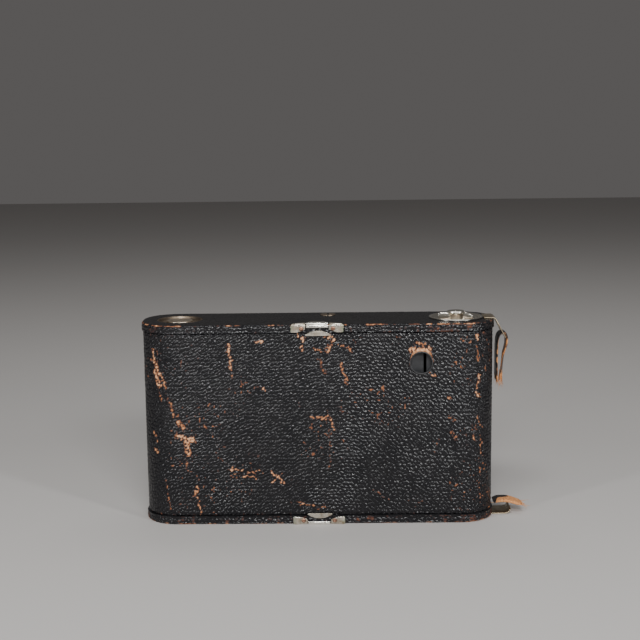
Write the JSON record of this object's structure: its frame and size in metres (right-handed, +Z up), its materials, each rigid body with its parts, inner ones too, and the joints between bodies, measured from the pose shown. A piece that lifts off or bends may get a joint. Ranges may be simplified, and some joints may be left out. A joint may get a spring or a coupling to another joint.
{
  "type": "folding camera",
  "caption": "Folding roll-film camera, leather covered, stored closed: drop bed with struts, lens standard on a sliding carriage, bellows, spools and a lift-off back.",
  "frame": {"origin": "centre of the face that the closed camera rests on, on the middle of its long side", "axes": "+X along the length towards the winding key, +Y towards the drop bed (front), +Z up through the narrow body"},
  "size_m": [0.2128, 0.0458, 0.1146],
  "materials": {
    "black_leather": "pebbled, worn",
    "strap_leather": "cracked, tan flesh side",
    "bellows_leather": "thin, folded",
    "nickel": "nickel plate, tarnished",
    "black_metal": "black japan, satin",
    "spool_wood": "plain turned wood",
    "brass": "satin",
    "lens_glass": "polished"
  },
  "bodies": {
    "case": {"top_plate": "black_metal", "bottom_plate": "black_metal", "top_leather": "black_leather", "bottom_leather": "black_leather", "front_walls": "black_metal", "wall_leathers": "black_leather", "partitions": "black_metal", "film_gate": "black_metal", "key_dish": "nickel", "pin_dish": "black_metal", "socket_plug": "nickel", "catch_plates": "nickel", "catch_rivets": "nickel", "upper_strap_lug": "nickel", "lower_strap_lug": "nickel", "upper_strap_end": "strap_leather", "lower_strap_end": "strap_leather", "hinge_leaf": "black_metal", "hinge_pin": "nickel", "inner_pins": "nickel"},
    "back_cover": {"back_cover": "black_metal", "cover_leather": "black_leather", "window_ring": "nickel", "cover_tongues": "nickel"},
    "top_catch": {"top_catch": "nickel"},
    "bottom_catch": {"bottom_catch": "nickel"},
    "take_up_spool": {"take_up_core": "spool_wood", "take_up_flanges": "black_metal"},
    "winding_key": {"winding_key": "nickel"},
    "supply_spool": {"supply_core": "spool_wood", "supply_flanges": "black_metal"},
    "supply_pin": {"supply_pin": "nickel"},
    "supply_lower_pin": {"supply_lower_pin": "nickel"},
    "take_up_lower_pin": {"take_up_lower_pin": "nickel"},
    "left_roller": {"left_roller": "black_metal"},
    "right_roller": {"right_roller": "black_metal"},
    "bed": {"bed_panel": "black_metal", "bed_leather": "black_leather", "bed_flanges": "nickel", "bed_track": "nickel", "tripod_bush": "brass", "focus_scale": "nickel"},
    "bed_leg": {"bed_leg": "nickel"},
    "bed_button": {"bed_button": "nickel"},
    "lower_strut": {"lower_strut": "nickel"},
    "upper_strut": {"upper_strut": "nickel"},
    "carriage": {"carriage": "nickel"},
    "focus_lever": {"focus_lever": "nickel"},
    "standard": {"standard_frame": "nickel", "lens_board": "black_metal", "shutter_case": "nickel", "shutter_face": "black_metal", "shutter_blades": "black_metal", "lens_barrel": "brass", "lens_glasses": "lens_glass"},
    "aperture_lever": {"aperture_lever": "nickel"},
    "release_lever": {"release_lever": "nickel"},
    "finder": {"finder_body": "nickel", "finder_glasses": "lens_glass"},
    "bellows_front": {"bellows": "bellows_leather"}
  },
  "joints": [
    {"name": "cover_slide", "type": "slide", "parent": "case", "child": "back_cover", "axis": [0, -1, 0], "range_m": [0, 0.03]},
    {"name": "top_catch_lift", "type": "slide", "parent": "case", "child": "top_catch", "axis": [0, 0, 1], "range_m": [0, 0.001], "stiffness_N_per_m": 600, "springref_m": -0.001},
    {"name": "bottom_catch_lift", "type": "slide", "parent": "case", "child": "bottom_catch", "axis": [0, 0, -1], "range_m": [0, 0.001], "stiffness_N_per_m": 600, "springref_m": -0.001},
    {"name": "take_up_spin", "type": "hinge", "parent": "case", "child": "take_up_spool", "pos_m": [0.0763, 0, 0.0555], "axis": [0, 0, 1], "continuous": true},
    {"name": "key_lift", "type": "slide", "parent": "take_up_spool", "child": "winding_key", "axis": [0, 0, 1], "range_m": [0, 0.005], "stiffness_N_per_m": 300, "springref_m": -0.002},
    {"name": "supply_spin", "type": "hinge", "parent": "case", "child": "supply_spool", "pos_m": [-0.0763, 0, 0.0555], "axis": [0, 0, 1], "continuous": true},
    {"name": "supply_pin_pull", "type": "slide", "parent": "case", "child": "supply_pin", "axis": [0, 0, 1], "range_m": [0, 0.005], "stiffness_N_per_m": 300, "springref_m": -0.002},
    {"name": "supply_lower_pin_pull", "type": "slide", "parent": "case", "child": "supply_lower_pin", "axis": [0, 0, -1], "range_m": [0, 0.005], "stiffness_N_per_m": 300, "springref_m": -0.002},
    {"name": "take_up_lower_pin_pull", "type": "slide", "parent": "case", "child": "take_up_lower_pin", "axis": [0, 0, -1], "range_m": [0, 0.005], "stiffness_N_per_m": 300, "springref_m": -0.002},
    {"name": "left_roller_spin", "type": "hinge", "parent": "case", "child": "left_roller", "pos_m": [-0.066, -0.013, 0.0555], "axis": [0, 0, 1], "continuous": true},
    {"name": "right_roller_spin", "type": "hinge", "parent": "case", "child": "right_roller", "pos_m": [0.066, -0.013, 0.0555], "axis": [0, 0, 1], "continuous": true},
    {"name": "bed_hinge", "type": "hinge", "parent": "case", "child": "bed", "pos_m": [-0.06, 0.0205, 0.0555], "axis": [0, 0, 1], "range_deg": [0, 90]},
    {"name": "leg_hinge", "type": "hinge", "parent": "bed", "child": "bed_leg", "pos_m": [0.052, 0.0209, 0.0555], "axis": [0, 0, -1], "range_deg": [0, 90]},
    {"name": "bed_button_press", "type": "slide", "parent": "case", "child": "bed_button", "axis": [0, -1, 0], "range_m": [0, 0.001], "stiffness_N_per_m": 600, "springref_m": -0.001},
    {"name": "lower_strut_pivot", "type": "hinge", "parent": "case", "child": "lower_strut", "pos_m": [-0.02, 0.0165, 0.008], "axis": [0, 0, 1], "range_deg": [0, 129.4]},
    {"name": "upper_strut_pivot", "type": "hinge", "parent": "case", "child": "upper_strut", "pos_m": [-0.02, 0.0165, 0.103], "axis": [0, 0, 1], "range_deg": [0, 129.4]},
    {"name": "carriage_slide", "type": "slide", "parent": "bed", "child": "carriage", "axis": [1, 0, 0], "range_m": [0, 0.095]},
    {"name": "focus_lever_pivot", "type": "hinge", "parent": "carriage", "child": "focus_lever", "pos_m": [-0.046, 0.0162, 0.0705], "axis": [0, 1, 0], "range_deg": [0, 35]},
    {"name": "standard_pivot", "type": "hinge", "parent": "carriage", "child": "standard", "pos_m": [-0.055, 0.0155, 0.0555], "axis": [0, 0, 1], "range_deg": [-90, 0]},
    {"name": "aperture_turn", "type": "hinge", "parent": "standard", "child": "aperture_lever", "pos_m": [0, 0.0097, 0.0555], "axis": [0, 1, 0], "range_deg": [-30, 30]},
    {"name": "release_press", "type": "hinge", "parent": "standard", "child": "release_lever", "pos_m": [0.01, 0.0097, 0.0405], "axis": [0, 1, 0], "range_deg": [0, 15], "stiffness_Nm_per_rad": 0.02, "springref_deg": -5.73},
    {"name": "finder_turn", "type": "hinge", "parent": "standard", "child": "finder", "pos_m": [0.0152, 0.007, 0.0945], "axis": [0, 1, 0], "range_deg": [0, 90]},
    {"name": "bellows_slide", "type": "slide", "parent": "case", "child": "bellows_front", "axis": [0, 1, 0], "range_m": [0, 0.105], "deforming": ["bellows"]}
  ],
  "couplings": [
    {"joint": "carriage_slide", "follows": "bed_hinge", "m_per_rad": 0.06047},
    {"joint": "standard_pivot", "follows": "bed_hinge", "ratio": -1},
    {"joint": "lower_strut_pivot", "follows": "bed_hinge", "ratio": 1.4367},
    {"joint": "upper_strut_pivot", "follows": "bed_hinge", "ratio": 1.4367},
    {"joint": "bellows_slide", "follows": "bed_hinge", "m_per_rad": 0.0668}
  ]
}
